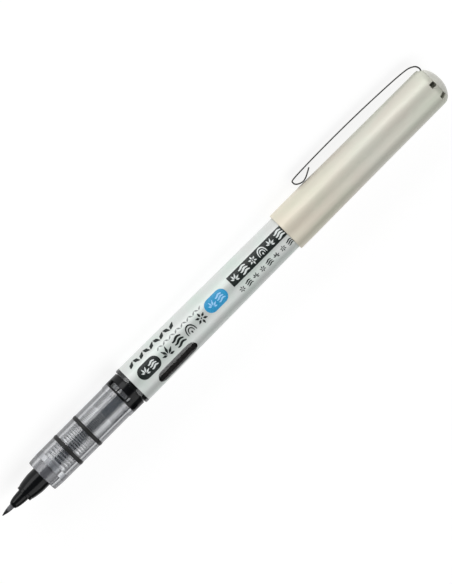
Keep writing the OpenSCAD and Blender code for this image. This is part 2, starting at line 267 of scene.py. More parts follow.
def clear(name, colour, haze, density, edge, specular=0.5):
    """Clear polished plastic, smoky in its depth, with painted shade that darkens its colour where its
    wall is seen edge-on.

    Most of a shadow ray passes straight through, so that lamp light reaches the pieces inside.
    """
    material = new_material(
        name, colour, haze, Transmission_Weight=1.0, IOR=1.49, Specular_IOR_Level=specular
    )
    nodes, links = material.node_tree.nodes, material.node_tree.links
    depth = nodes.new("ShaderNodeVolumeAbsorption")
    depth.inputs["Color"].default_value = SMOKE
    depth.inputs["Density"].default_value = density
    links.new(depth.outputs["Volume"], nodes["Material Output"].inputs["Volume"])
    light_path = nodes.new("ShaderNodeLightPath")
    lit_through = nodes.new("ShaderNodeMapRange")
    lit_through.inputs["To Min"].default_value = 1.0
    lit_through.inputs["To Max"].default_value = SHADOW_ALPHA
    links.new(light_path.outputs["Is Shadow Ray"], lit_through.inputs["Value"])
    paint(material, "Alpha", lit_through.outputs["Result"])
    smoke = noise(material, 0.35, 4, LENGTHWISE)
    darker = tuple(0.93 * c for c in colour)
    body = ramp(material, smoke, [(0.3, darker), (0.7, colour)])
    # Painted shade: the base colour darkens towards the edge colour where the wall is seen edge-on,
    # standing in for the dark edges of a thick clear wall.
    facing = nodes.new("ShaderNodeLayerWeight")
    painted_edge_shade = ramp(material, facing.outputs["Facing"], [(0.25, (1, 1, 1)), (0.46, edge)])
    paint(material, "Base Color", mix(material, 1.0, body, painted_edge_shade, "MULTIPLY"))
    paint(material, "Roughness", spread(material, noise(material, 1.6, 4), haze, haze + 0.03))
    relief(material, noise(material, 0.5, 2, LENGTHWISE), 0.002, 0.15)
    return material


def rubbery():
    """Matt black elastomer with a fine grain."""
    material = new_material("elastomer", (0.01, 0.01, 0.01), 0.45, Specular_IOR_Level=0.25)
    grain = noise(material, 12, 4)
    colour_by(material, grain, (0.3, (0.005, 0.005, 0.005)), (0.7, (0.018, 0.018, 0.018)))
    paint(material, "Roughness", spread(material, noise(material, 5, 3), 0.35, 0.6))
    relief(material, grain, 0.008, 0.6)
    return material


def pearl_film():
    """Silver print ink: fine flakes in a satin binder, with a faint drift of tint."""
    material = new_material(
        "pearl_film", (0.58, 0.615, 0.595), 0.42, Metallic=0.25, Specular_IOR_Level=0.35
    )
    flakes = ramp(
        material, noise(material, 16, 2), [(0.3, (0.53, 0.565, 0.545)), (0.7, (0.65, 0.68, 0.66))]
    )
    drift = ramp(
        material,
        noise(material, 0.16, 3),
        [(0.3, (0.94, 1.0, 0.965)), (0.5, (1, 1, 1)), (0.7, (1.0, 0.965, 0.975))],
    )
    paint(material, "Base Color", mix(material, 1.0, flakes, drift, "MULTIPLY"))
    paint(material, "Roughness", spread(material, noise(material, 1.1, 5, LENGTHWISE), 0.38, 0.5))
    relief(material, noise(material, 14, 3), 0.003, 0.35)
    return material


def pearl_cap():
    """Pearl plastic: warm at the rim, greyer towards the crown, with swirls of flake."""
    material = new_material("pearl_cap", (0.62, 0.59, 0.53), 0.42, Metallic=0.2, Specular_IOR_Level=0.35)
    body = ramp(
        material,
        along(material, CAP_X, SHELL_END),
        [
            (0.0, (0.66, 0.62, 0.51)), (0.3, (0.635, 0.605, 0.515)),
            (0.55, (0.61, 0.605, 0.53)), (1.0, (0.61, 0.61, 0.53)),
        ],
    )
    swirl = ramp(
        material,
        noise(material, 0.22, 4, (0.35, 1, 1)),
        [(0.32, (0.955, 1.0, 0.975)), (0.5, (1, 1, 1)), (0.68, (1.0, 0.965, 0.97))],
    )
    flakes = ramp(material, noise(material, 18, 2), [(0.3, (0.93, 0.93, 0.93)), (0.7, (1.0, 1.0, 1.0))])
    tinted = mix(material, 1.0, body, swirl, "MULTIPLY")
    paint(material, "Base Color", mix(material, 1.0, tinted, flakes, "MULTIPLY"))
    paint(material, "Roughness", spread(material, noise(material, 0.9, 5, LENGTHWISE), 0.38, 0.52))
    relief(material, noise(material, 3.5, 4), 0.004, 0.35)
    return material


def steel():
    """Dark spring steel with rolling lines along the strip."""
    material = new_material("spring_steel", (0.4, 0.4, 0.39), 0.24, Metallic=1.0)
    lines = noise(material, 20, 4, (0.04, 1, 1))
    colour_by(material, lines, (0.3, (0.09, 0.09, 0.09)), (0.7, (0.22, 0.22, 0.21)))
    paint(material, "Roughness", spread(material, noise(material, 3, 5), 0.16, 0.34))
    relief(material, lines, 0.003, 0.5)
    return material


def print_ink(name, colour, lighter):
    """Screen-printed ink, a little uneven where the film shows through."""
    material = new_material(name, colour, 0.4, Specular_IOR_Level=0.25)
    patchy = noise(material, 3.0, 5)
    colour_by(material, patchy, (0.4, colour), (0.75, lighter))
    paint(material, "Roughness", spread(material, noise(material, 6, 4), 0.28, 0.45))
    relief(material, noise(material, 10, 3), 0.003, 0.4)
    return material


GLOSS_BLACK = ((0.005, 0.0055, 0.006), (0.002, 0.002, 0.0025), 0.14)
BLACK_SPECULAR = 0.17


def nose_plastic():
    """Gloss black, with grey painted on the part inside the clear section as a painted reflection of the
    bright surroundings in the clear wall over it.
    """
    material = moulded("nose_plastic", *GLOSS_BLACK, Specular_IOR_Level=BLACK_SPECULAR)
    # Painted reflection: the cone is painted grey from where the clear section starts.
    seat = along(material, SECTION_X - 0.02, SECTION_X + 0.02)
    flow = noise(material, 0.8, 4, LENGTHWISE)
    grey = ramp(material, flow, [(0.35, (0.08, 0.08, 0.09)), (0.62, (0.13, 0.13, 0.14))])
    paint(material, "Base Color", mix(material, seat, (0.004, 0.0045, 0.005), grey))
    return material


FELT = felt()
NOSE = nose_plastic()
BLACK = moulded("black_plastic", *GLOSS_BLACK, Specular_IOR_Level=BLACK_SPECULAR)
SOAKED = soaked_fibre()
MILKY = milky()
GAP_INK_AND_SHADE = gap_ink_and_shade()
FROSTED = moulded("frosted_collar", (0.62, 0.64, 0.66), (0.5, 0.52, 0.55), 0.35, Alpha=0.4)
HUB = moulded(
    "damp_hub", (0.2, 0.21, 0.22), (0.15, 0.16, 0.17), 0.3, Alpha=0.4, Specular_IOR_Level=0.15
)
INKED = moulded(
    "inked_core", (0.036, 0.044, 0.06), (0.02, 0.025, 0.036), 0.3, Specular_IOR_Level=0.1
)
# The last colour given to each clear material is its painted edge shade.
CLEAR = clear("clear_section", (0.985, 0.99, 0.995), 0.0, 130, (0.09, 0.09, 0.095))
CLEAR_BARREL = clear("clear_barrel", (0.9, 0.93, 0.92), 0.0, 210, (0.16, 0.18, 0.17), 0.2)
RUBBERY = rubbery()
FILM = pearl_film()
INK = moulded("ink", (0.012, 0.009, 0.008), (0.005, 0.004, 0.004), 0.2)
PEARL = pearl_cap()
WHITE = moulded("white_plastic", (0.82, 0.82, 0.8), (0.76, 0.76, 0.74), 0.4)
CROWN = moulded("crown_plastic", (0.66, 0.66, 0.59), (0.6, 0.6, 0.54), 0.3, Specular_IOR_Level=0.4)
STEEL = steel()
DARK_PRINT = print_ink("dark_print", (0.008, 0.012, 0.011), (0.025, 0.032, 0.03))
BLUE_PRINT = print_ink("blue_print", (0.025, 0.27, 0.52), (0.05, 0.36, 0.62))
SKY_PRINT = print_ink("sky_print", (0.28, 0.55, 0.85), (0.4, 0.66, 0.9))
PALE_PRINT = print_ink("pale_print", (0.7, 0.74, 0.73), (0.6, 0.64, 0.63))
GREY_PRINT = print_ink("grey_print", (0.2, 0.21, 0.21), (0.3, 0.31, 0.31))


# ---------------------------------------------------------------- mesh tools
def add_piece(name, mesh, material, body, replaces=(), sharp=35):
    """Makes an object of a finished bmesh and registers it with the frame."""
    bmesh.ops.remove_doubles(mesh, verts=mesh.verts, dist=1e-8)
    bmesh.ops.recalc_face_normals(mesh, faces=mesh.faces)
    data = bpy.data.meshes.new(name)
    mesh.to_mesh(data)
    mesh.free()
    data.polygons.foreach_set("use_smooth", [True] * len(data.polygons))
    data.set_sharp_from_angle(angle=math.radians(sharp))
    data.materials.append(material)
    piece = bpy.data.objects.new(name, data)
    bpy.context.scene.collection.objects.link(piece)
    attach(piece, body)
    if replaces:
        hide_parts(*replaces)
    return piece


def arc(centre, radius, start, end, steps=6):
    """Points of an arc, from one angle in degrees to another."""
    turns = [math.radians(start + (end - start) * i / steps) for i in range(steps + 1)]
    return [(centre[0] + radius * math.cos(t), centre[1] + radius * math.sin(t)) for t in turns]


def softened(points, steps=4):
    """Rounds each corner of an outline that gives a third number, its fillet radius."""
    out = []
    count = len(points)
    for i, point in enumerate(points):
        here = Vector(point[:2])
        if len(point) < 3:
            out.append(tuple(here))
            continue
        before = Vector(points[i - 1][:2]) - here
        after = Vector(points[(i + 1) % count][:2]) - here
        corner = before.angle(after)
        reach = min(point[2] / math.tan(corner / 2), 0.45 * before.length, 0.45 * after.length)
        first, last = here + before.normalized() * reach, here + after.normalized() * reach
        for k in range(steps + 1):
            t = k / steps
            out.append(tuple((1 - t) ** 2 * first + 2 * t * (1 - t) * here + t * t * last))
    return out


def smooth_line(points, steps):
    """A smooth line through points, with a number of steps from each to the next."""
    points = [Vector(p) for p in points]
    line = []
    last = len(points) - 1
    for i in range(last):
        a, b, c, d = (points[max(0, min(last, j))] for j in (i - 1, i, i + 1, i + 2))
        for k in range(steps):
            t = k / steps
            square, cube = (2 * a - 5 * b + 4 * c - d) * t**2, (3 * b - a - 3 * c + d) * t**3
            line.append(0.5 * (2 * b + (c - a) * t + square + cube))
    return line + [points[-1]]


def turn_outline(outline, steps, mesh=None):
    """A bmesh of an outline of (x, radius) points turned about the pen's axis."""
    mesh = mesh or bmesh.new()
    rings = []
    for x, radius in outline:
        if radius < 1e-6:
            rings.append([mesh.verts.new(place(x))])
        else:
            rings.append([mesh.verts.new(place(x, radius, 360 * k / steps)) for k in range(steps)])
    for a, b in zip(rings, rings[1:] + rings[:1]):
        if len(a) == 1 and len(b) == 1:
            continue
        for k in range(steps):
            corners = [a[k % len(a)], a[(k + 1) % len(a)], b[(k + 1) % len(b)], b[k % len(b)]]
            unique = list(dict.fromkeys(corners))
            mesh.faces.new(unique)
    return mesh


def turned(name, outline, material, body, replaces=(), steps=160, sharp=35):
    """A piece made of an outline turned about the pen's axis."""
    mesh = turn_outline(softened(outline), steps)
    return add_piece(name, mesh, material, body, replaces, sharp)


def cut(piece, cutters, sharp=35):
    """Cuts closed bmeshes out of a piece and applies the result."""
    for cutter in cutters:
        bmesh.ops.recalc_face_normals(cutter, faces=cutter.faces)
        data = bpy.data.meshes.new("cutter")
        cutter.to_mesh(data)
        cutter.free()
        tool = bpy.data.objects.new("cutter", data)
        bpy.context.scene.collection.objects.link(tool)
        modifier = piece.modifiers.new("cut", "BOOLEAN")
        modifier.operation = "DIFFERENCE"
        modifier.solver = "EXACT"
        modifier.object = tool
        bpy.context.view_layer.update()
        evaluated = piece.evaluated_get(bpy.context.evaluated_depsgraph_get())
        result = bpy.data.meshes.new_from_object(evaluated)
        piece.modifiers.clear()
        piece.data = result
        bpy.data.objects.remove(tool)
    piece.data.polygons.foreach_set("use_smooth", [True] * len(piece.data.polygons))
    piece.data.set_sharp_from_angle(angle=math.radians(sharp))


def walls(mesh, first, second):
    """Joins two closed loops of equal length with a band of faces."""
    count = len(first)
    for k in range(count):
        n = (k + 1) % count
        mesh.faces.new([first[k], first[n], second[n], second[k]])


def prism(points, low, high, bearing):
    """A closed bmesh: an outline of (x, across) points pushed out along a bearing."""
    mesh = bmesh.new()
    sideways = place(0, 1, bearing + 90) - TIP
    layers = []
    for radius in (low, high):
        layers.append([mesh.verts.new(place(x, radius, bearing) + sideways * y) for x, y in points])
    mesh.faces.new(layers[0])
    mesh.faces.new(layers[1][::-1])
    walls(mesh, *layers)
    return mesh


def sector(from_x, to_x, low, high, bearing_a, bearing_b, steps=12):
    """A closed bmesh: a block between two places, two radii and two bearings."""
    mesh = bmesh.new()
    loops = []
    for x in (from_x, to_x):
        bearings = [bearing_a + (bearing_b - bearing_a) * i / steps for i in range(steps + 1)]
        inner = [mesh.verts.new(place(x, low, b)) for b in bearings]
        outer = [mesh.verts.new(place(x, high, b)) for b in reversed(bearings)]
        loops.append(inner + outer)
    mesh.faces.new(loops[0])
    mesh.faces.new(loops[1][::-1])
    walls(mesh, *loops)
    return mesh


def rectangle(x_low, x_high, y_low, y_high, corner=0.0):
    """An outline of a rectangle with rounded corners."""
    if corner <= 0:
        return [(x_low, y_low), (x_high, y_low), (x_high, y_high), (x_low, y_high)]
    out = []
    for cx, cy, start in (
        (x_high - corner, y_high - corner, 0),
        (x_low + corner, y_high - corner, 90),
        (x_low + corner, y_low + corner, 180),
        (x_high - corner, y_low + corner, 270),
    ):
        out += arc((cx, cy), corner, start, start + 90, 8)
    return out


# ---------------------------------------------------------------- feed, nose and section
NIB_R = radius_of("nib")
NOSE_R = radius_of("nose_cone")
SECTION_R = 4.79
CHAMBER_R = 3.5
RECESS_R = 3.3
SPIGOT_R = 4.35
FLANGE_R = radius_of("grip_section")
FLANGE_X = JOINT_X - 1.44
COLLAR_R = 2.3
GRIP_RING_W = 0.96
GROOVE_DEPTH = 0.48
RING_END = BARREL_X - 0.2
SKIRT_R = 4.6
RING_WINDOWS = ((-71, -23), (-20, 15), (18, 27), (48, 64))
AIR_GAP = 0.04
# How far a piece that wets or grips clear plastic reaches into it, so that no film of air shows.
WET = 0.03


def nib():
    """The felt: a rounded tip, a cone that swells a little, and the rod behind it."""
    shaft = NIB_R - 0.01
    outline = arc((0.15, 0), 0.15, 180, 110, 6) + [
        (0.5, 0.235), (0.9, 0.35), (1.3, 0.445), (1.6, 0.52), (2.1, 0.59), (2.6, 0.64),
        (NOSE_X, shaft), (BULKHEAD_END, shaft), (BULKHEAD_END, 0),
    ]
    turned("nib", outline, FELT, "pen", ["nib"], steps=96, sharp=50)


def nose_cone():
    """The black cone with its step, from the felt back to its seat in the bulkhead."""
    step_x = NOSE_X + 4
    outline = [
        (NOSE_X + 0.1, NIB_R), (NOSE_X, NIB_R + 0.1, 0.1), (NOSE_X + 0.12, 0.94, 0.15),
        (NOSE_X + 0.75, 1.21, 0.4), (NOSE_X + 1.7, 1.42, 0.6), (NOSE_X + 2.7, 1.54, 0.6),
        (step_x - 0.06, 1.62, 0.05), (step_x, 2.2, 0.09), (step_x + 0.75, 2.25, 0.05),
        (step_x + 0.9, 2.35, 0.05), (step_x + 1.65, 2.52, 0.8), (step_x + 2.65, 2.68, 0.8),
        (step_x + 3.65, 2.82, 0.8), (step_x + 4.2, NOSE_R - 0.01, 0.3),
        (RECESS_END - 0.02, NOSE_R - 0.01, 0.12), (RECESS_END - 0.02, NIB_R),
    ]
    turned("nose_cone", outline, NOSE, "pen", ["nose_cone"], steps=128)


def relay_core():
    """The fibre rod that carries ink from the reservoir to the felt."""
    start, end = span("relay_core")
    radius = radius_of("relay_core") - 0.02
    outline = [(start, 0), (start, radius, 0.1), (end, radius, 0.1), (end, 0)]
    turned("relay_core", outline, SOAKED, "pen", ["relay_core"], steps=64)


def collector():
    """The comb: wide gaps that close up towards the back, then fine ones, then the hub."""
    start, end = BULKHEAD_END, span("collector")[1]
    fin_r, root_r, bore_r = 3.4, 1.65, 1.0
    first_pitch, ratio, fine_pitch = 0.95, 0.958, 0.46
    wide_gaps, fine_gaps, gap_share = 15, 10, 0.52
    first_gap = BULKHEAD_END + 1.14
    land, fillet = 0.7, 0.04
    comb_end = SECTION_X + 21.36
    gaps = []
    for i in range(wide_gaps + 1):
        middle = first_gap + first_pitch * (1 - ratio**i) / (1 - ratio)
        gaps.append((middle, first_pitch * ratio**i * gap_share))
    last = gaps[-1][0]
    gaps += [(last + fine_pitch * (i + 1), fine_pitch * gap_share) for i in range(fine_gaps)]
    comb_x = first_gap - land
    outline = [(start, bore_r), (start, root_r), (comb_x, root_r), (comb_x, fin_r, 0.05)]
    for middle, width in gaps:
        low, high = middle - width / 2, middle + width / 2
        outline += [(low, fin_r, fillet), (low, root_r), (high, root_r), (high, fin_r, fillet)]
    outline += [(comb_end, fin_r, fillet), (comb_end, root_r), (end, root_r), (end, bore_r)]
    mesh = turn_outline(softened(outline, 2), 128)
    comb = add_piece("collector", mesh, MILKY, "pen", ["collector"])
    slot = rectangle(first_gap - 2, comb_end + 0.1, -0.4, 0.4)
    cut(comb, [prism(slot, root_r + 0.1, 4, 180)])
    hub_x, hub_r, hub_bore_r = comb_end + 0.05, CHAMBER_R - AIR_GAP, root_r + 0.01
    hub = [(hub_x, hub_bore_r), (hub_x, hub_r, 0.08), (end, hub_r), (end, hub_bore_r)]
    turned("collector_hub", hub, HUB, "pen", steps=128)
    core_x, core_r = RECESS_END + 0.1, root_r + 0.03
    core = [(core_x, bore_r), (core_x, core_r), (JOINT_X, core_r), (JOINT_X, bore_r)]
    turned("collector_core", core, INKED, "pen", steps=96)
    collar_end, collar_r, collar_bore_r = start + 0.6, COLLAR_R - AIR_GAP, NIB_R + 0.02
    collar = [(RECESS_END, collar_bore_r), (RECESS_END, collar_r, 0.1)]
    collar += [(collar_end, collar_r, 0.1), (collar_end, collar_bore_r)]
    turned("collector_collar", collar, FROSTED, "pen", steps=96)
    # Painted shade and ink: a dark half-clear film in each gap, darkening the gaps between the fins.
    mesh = bmesh.new()
    gap_film_r, gap_film_bore_r = fin_r - 0.3, root_r + 0.02
    for middle, width in gaps:
        low, high = middle - width / 2 + 0.03, middle + width / 2 - 0.03
        ring = [(low, gap_film_bore_r), (low, gap_film_r, 0.06), (high, gap_film_r, 0.06), (high, gap_film_bore_r)]
        turn_outline(softened(ring, 2), 96, mesh)
    add_piece("collector_gap_ink_and_shade", mesh, GAP_INK_AND_SHADE, "pen")


def groove(x):
    """The part of the section's outline that seats a grip ring."""
    end, floor_r, flare = x + GRIP_RING_W, SECTION_R - GROOVE_DEPTH, 0.04
    return [
        (x - flare, SECTION_R, 0.05), (x, floor_r), (end, floor_r), (end + flare, SECTION_R, 0.05),
    ]


def grip_section():
    """The clear housing: recess for the nose, bulkhead, chamber for the comb, and spigot."""
    outline = [
        (SECTION_X, RECESS_R, 0.1), (SECTION_X, 4.57, 0.32), (SECTION_X + 2.74, SECTION_R, 2.0),
        *groove(FRONT_RING_X), *groove(REAR_RING_X),
        (FLANGE_X, SECTION_R, 0.04), (FLANGE_X + 0.04, FLANGE_R, 0.1),
        (JOINT_X, FLANGE_R, 0.06), (JOINT_X, SPIGOT_R), (SPIGOT_END, SPIGOT_R),
        (SPIGOT_END, CHAMBER_R), (BULKHEAD_END, CHAMBER_R, 0.1), (BULKHEAD_END, COLLAR_R),
        (RECESS_END, COLLAR_R), (RECESS_END, RECESS_R, 0.15),
    ]
    turned(
        "grip_section", outline, CLEAR, "pen", ["grip_section"], steps=192, sharp=40
    )


def grip_ring(name, x):
    """An elastic ring with a slightly crowned top."""
    inner_r, edge_r, crowning = SECTION_R - GROOVE_DEPTH + 0.01, SECTION_R - 0.02, 0.09
    outline = [(x, inner_r)]
    steps = 12
    for i in range(steps + 1):
        rise = crowning * math.sin(math.pi * i / steps)
        outline.append((x + GRIP_RING_W * i / steps, edge_r + rise))
    outline.append((x + GRIP_RING_W, inner_r))
    turned(name, outline, RUBBERY, "pen", [name], steps=160, sharp=60)


def joint_ring():
    """The black collar between section and barrel, with its windows all round."""
    outline = [
        (JOINT_X + 0.01, SPIGOT_R + 0.01), (JOINT_X + 0.01, FLANGE_R, 0.05),
        (RING_END, FLANGE_R, 0.08), (RING_END, SKIRT_R + WET), (JOINT_END - 0.01, SKIRT_R + WET),
        (JOINT_END - 0.01, SPIGOT_R + 0.01),
    ]
    ring = turned(
        "joint_ring", outline, BLACK, "pen", ["joint_ring"], steps=192
    )
    start, end, inside, outside = JOINT_X + 0.5, JOINT_X + 1.75, 4.0, 5.6
    cutters = []
    for half in (0, 180):
        for low, high in RING_WINDOWS:
            cutters.append(sector(start, end, inside, outside, half + low, half + high))
    cut(ring, cutters)


# ---------------------------------------------------------------- barrel
LIP_R = radius_of("barrel")
FILM_R = radius_of("barrel_film")
FILM_T = 0.1
WALL = 0.85
TAIL_R = 4.635
SLOPE = (FILM_R - TAIL_R) / (BARREL_END - FILM_X)
WINDOW_BEARING = 49
WINDOW_X, WINDOW_LENGTH, WINDOW_W = BARREL_X + 6.2, 12.9, 3.7
PLUG_DEPTH = 5


def film_r(x):
    """The film's outer radius: the barrel narrows slightly to its tail."""
    return FILM_R - SLOPE * (x - FILM_X)


def bore_r(x):
    """The barrel's inner radius."""
    return film_r(x) - FILM_T - WALL


def barrel():
    """The clear tube, bare at the lip and under the film, with seats for spigot and plug."""
    seat = BARREL_END - PLUG_DEPTH
    outline = [
        (BARREL_X, SKIRT_R, 0.05), (BARREL_X, LIP_R, 0.34), (FILM_X, LIP_R, 0.05),
        (FILM_X, film_r(FILM_X) - FILM_T - 0.01), (FILM_END, film_r(FILM_END) - FILM_T - 0.01),
        (FILM_END, film_r(FILM_END)), (BARREL_END, film_r(BARREL_END), 0.12),
        (BARREL_END, bore_r(seat)), (seat, bore_r(seat)), (SPIGOT_END, bore_r(SPIGOT_END)),
        (SPIGOT_END, SPIGOT_R), (JOINT_END, SPIGOT_R), (JOINT_END, SKIRT_R),
    ]
    turned(
        "barrel", outline, CLEAR_BARREL, "pen", ["barrel"], steps=192, sharp=40
    )


def barrel_film():
    """The printed silver skin, with the ink window left open."""
    outline = [
        (FILM_X, film_r(FILM_X) - FILM_T), (FILM_X, film_r(FILM_X), 0.03),
        (FILM_END, film_r(FILM_END), 0.03), (FILM_END, film_r(FILM_END) - FILM_T),
    ]
    film = turned(
        "barrel_film", outline, FILM, "pen", ["barrel_film"], steps=256
    )
    half = WINDOW_W / 2
    stadium = rectangle(WINDOW_X, WINDOW_X + WINDOW_LENGTH, -half, half, half - 0.001)
    cut(film, [prism(stadium, 2, 7, WINDOW_BEARING)])


def ink_charge():
    """The ink, a hair wider than its bore so that it wets the clear wall."""
    start, end = span("ink_charge")
    start, front_r = start + 0.02, CHAMBER_R - 0.03
    outline = [
        (start, 0), (start, front_r), (SPIGOT_END - 0.4, front_r),
        (SPIGOT_END + 0.1, bore_r(SPIGOT_END) + WET), (end, bore_r(end) + WET, 0.3), (end + 0.3, 0),
    ]
    turned("ink_charge", outline, INK, "pen", ["ink_charge"], steps=128)


def tail_plug():
    """A hollow plug with a shallow dimple in its end."""
    seat = BARREL_END - PLUG_DEPTH
    radius, hollow_r, rim_r, dimple_r = bore_r(seat) - 0.01, 2.6, 1.6, 1.3
    dimple_x, floor_x = BARREL_END - 0.35, BARREL_END - 1.2
    outline = [
        (seat, hollow_r), (seat, radius, 0.3), (BARREL_END, radius, 0.1), (BARREL_END, rim_r, 0.1),
        (dimple_x, dimple_r, 0.1), (dimple_x, 0), (floor_x, 0), (floor_x, hollow_r),
    ]
    turned("tail_plug", outline, BLACK, "pen", ["tail_plug"], steps=96)


# ---------------------------------------------------------------- print
def flourish(points, widths, steps=8):
    """The outline of a brush stroke: a smooth line through points that swells and thins."""
    line = smooth_line(points, steps)
    last = len(points) - 1
    left, right = [], []
    for i, here in enumerate(line):
        share = i / steps
        k = min(int(share), last - 1)
        width = widths[k] + (widths[k + 1] - widths[k]) * (share - k)
        ahead = (line[min(i + 1, len(line) - 1)] - line[max(i - 1, 0)]).normalized()
        across = Vector((-ahead.y, ahead.x)) * max(width, 0.02) / 2
        left.append(tuple(here + across))
        right.append(tuple(here - across))
    return left + right[::-1]


def resampled(outline, longest):
    """An outline with its long edges split, so that each stays on the round film."""
    out = []
    for a, b in zip(outline, outline[1:] + outline[:1]):
        a, b = Vector(a), Vector(b)
        parts = max(1, math.ceil((b - a).length / longest))
        out += [tuple(a.lerp(b, k / parts)) for k in range(parts)]
    return out


def mark_mesh(mesh, outline, lift):
    """Adds one printed mark: an outline of (x, arc) points laid round the film as a thin skin."""
    grid_x, grid_y, sink = 0.5, 0.25, 0.03
    outline = resampled(outline, grid_y)
    xs, ys = [p[0] for p in outline], [p[1] for p in outline]
    points = [Vector(p) for p in outline]
    count = len(points)
    x = min(xs) + grid_x
    while x < max(xs):
        y = min(ys) + grid_y
        while y < max(ys):
            points.append(Vector((x, y)))
            y += grid_y
        x += grid_x
    loop = [(i, (i + 1) % count) for i in range(count)]
    flat, _, faces, *_ = delaunay_2d_cdt(points, loop, [], 1, 1e-5)
    used = sorted({i for f in faces for i in f})
    layers = []
    for depth in (lift, -sink):
        row = {}
        for i in used:
            px, arc_mm = flat[i]
            radius = film_r(px)
            row[i] = mesh.verts.new(place(px, radius + depth, math.degrees(arc_mm / radius)))
        layers.append(row)
    top, bottom = layers
    edges = {}
    for f in faces:
        mesh.faces.new([top[i] for i in f])
        mesh.faces.new([bottom[i] for i in reversed(f)])
        for a, b in zip(f, list(f[1:]) + [f[0]]):
            edges[(a, b)] = edges.get((a, b), 0) + 1
    for a, b in edges:
        if (b, a) not in edges:
            mesh.faces.new([top[b], top[a], bottom[a], bottom[b]])


def print_marks(name, outlines, material, lift):
    """One piece made of several printed marks."""
    mesh = bmesh.new()
    for outline in outlines:
        mark_mesh(mesh, outline, lift)
    add_piece(name, mesh, material, "pen", sharp=60)


def heading(degrees):
    """A unit vector on the unrolled film."""
    turn = math.radians(degrees)
    return Vector((math.cos(turn), math.sin(turn)))


def leaf(x, y, length, width, lean):
    """A pointed leaf centred on a point."""
    reach = heading(lean) * length / 2
    middle = Vector((x, y))
    return flourish([middle - reach, middle - reach * 0.15, middle + reach], [0.03, width, 0.03], 7)


def wave(x, y, length, height, width, phase=0.0):
    """A brush wave that swells in its middle."""
    count = 7
    points, widths = [], []
    for i in range(count):
        share = i / (count - 1)
        points.append((x + length * share, y + height * math.sin(2 * math.pi * (share + phase))))
        widths.append(width * (0.25 + 0.75 * math.sin(math.pi * (0.1 + 0.8 * share))))
    return flourish(points, widths, 4)


def ripples(x, y, size):
    """Three brush waves, one under another."""
    left, height, width = x - size / 2, size * 0.08, size * 0.22
    return [
        wave(left + size * 0.05 * k, y + size * 0.33 * k, size, height, width, 0.1)
        for k in (-1, 0, 1)
    ]


def scales(x, y, size):
    """A fish scale pattern: nested arches over a drop."""
    marks = [leaf(x, y + size * 0.3, size * 0.3, size * 0.2, 90)]
    for radius, weight in ((0.3, 0.12), (0.52, 0.15)):
        points, widths = [], []
        for i in range(9):
            turn = math.radians(170 + 200 * i / 8)
            rise = 0.26 + radius * 1.35 * math.sin(turn)
            points.append((x + size * radius * math.cos(turn), y + size * rise))
            widths.append(size * weight * (0.35 + 0.65 * math.sin(math.pi * (i + 1) / 10)))
        marks.append(flourish(points, widths, 4))
    return marks


def sprig(x, y, size, lean=-60):
    """A fan of leaves that spread from a short stem."""
    marks = []
    base = Vector((x, y)) - heading(lean) * size * 0.22
    for k, share in ((-2, 0.34), (-1, 0.46), (0, 0.52), (1, 0.46), (2, 0.34)):
        turn = lean + 42 * k
        out = heading(turn)
        middle = base + out * size * (0.1 + share * 0.6)
        marks.append(leaf(middle.x, middle.y, size * share * 1.15, size * 0.2, turn))
    return marks


def blossom(x, y, size):
    """Six petals round a dot."""
    dot = size * 0.07
    marks = [flourish([(x - dot, y), (x, y), (x + dot, y)], [0.04, size * 0.14, 0.04], 6)]
    for lean in range(30, 390, 60):
        middle = Vector((x, y)) + heading(lean) * size * 0.31
        marks.append(leaf(middle.x, middle.y, size * 0.36, size * 0.2, lean))
    return marks


def pill(x_low, x_high, y_low, y_high):
    """A rectangle with fully rounded ends."""
    return rectangle(x_low, x_high, y_low, y_high, (y_high - y_low) / 2 - 0.01)


INK_LIFT = 0.015
TOP_LIFT = 0.03
LABEL_X = BARREL_X + 3.2
TITLE_X = BARREL_X + 10.9
BADGE_X = BARREL_X + 26.4
BAR_X = BARREL_X + 35.4
BAR_END = CAP_X + 2.5


def printed_pills():
    """Two rounded labels, each with two motifs."""
    for name, x, ground, ink in (
        ("label_pill", LABEL_X, DARK_PRINT, PALE_PRINT),
        ("badge_pill", BADGE_X, BLUE_PRINT, SKY_PRINT),
    ):
        print_marks(name, [pill(x, x + 6.9, -2.05, 1.7)], ground, INK_LIFT)
        marks = sprig(x + 2.2, -0.15, 2.4) + ripples(x + 4.75, -0.15, 2.1)
        print_marks(name + "_motifs", marks, ink, TOP_LIFT)


def printed_flourishes():
    """Four large brush motifs, with a fine grey row over them and a row of leaves above."""
    marks = sprig(TITLE_X + 1.6, 0.3, 3.5, -75) + ripples(TITLE_X + 5.6, 0.3, 2.9)
    marks += scales(TITLE_X + 9.5, 0.3, 2.6) + blossom(TITLE_X + 13.4, 0.3, 3.3)
    print_marks("title_motifs", marks, DARK_PRINT, INK_LIFT)
    ticks = [leaf(TITLE_X + 0.5 + 1.02 * k, -1.95, 1.2, 0.42, 40 if k % 2 else -40) for k in range(15)]
    print_marks("fine_row", ticks, GREY_PRINT, INK_LIFT)
    leaves = [leaf(LABEL_X + 0.8 + 1.72 * k, -4.1, 2.3, 1.15, 48 if k % 2 else -48) for k in range(9)]
    print_marks("leaf_row", leaves, DARK_PRINT, INK_LIFT)


def printed_bar():
    """A dark bar with six pale motifs, and a row of small ones under it."""
    print_marks("bar", [rectangle(BAR_X, BAR_END, -2.4, 0.65, 0.05)], DARK_PRINT, INK_LIFT)
    marks = []
    for k, motif in enumerate((sprig, ripples, blossom, scales, sprig, ripples)):
        marks += motif(BAR_X + 1.7 + 3.05 * k, -0.88, 2.3)
    print_marks("bar_motifs", marks, PALE_PRINT, TOP_LIFT)
    marks = []
    for k, motif in enumerate((blossom, ripples, sprig, blossom, ripples, sprig, blossom, ripples)):
        marks += motif(BAR_X + 1.1 + 2.35 * k, 2.5, 1.75)
    print_marks("small_row", marks, DARK_PRINT, INK_LIFT)


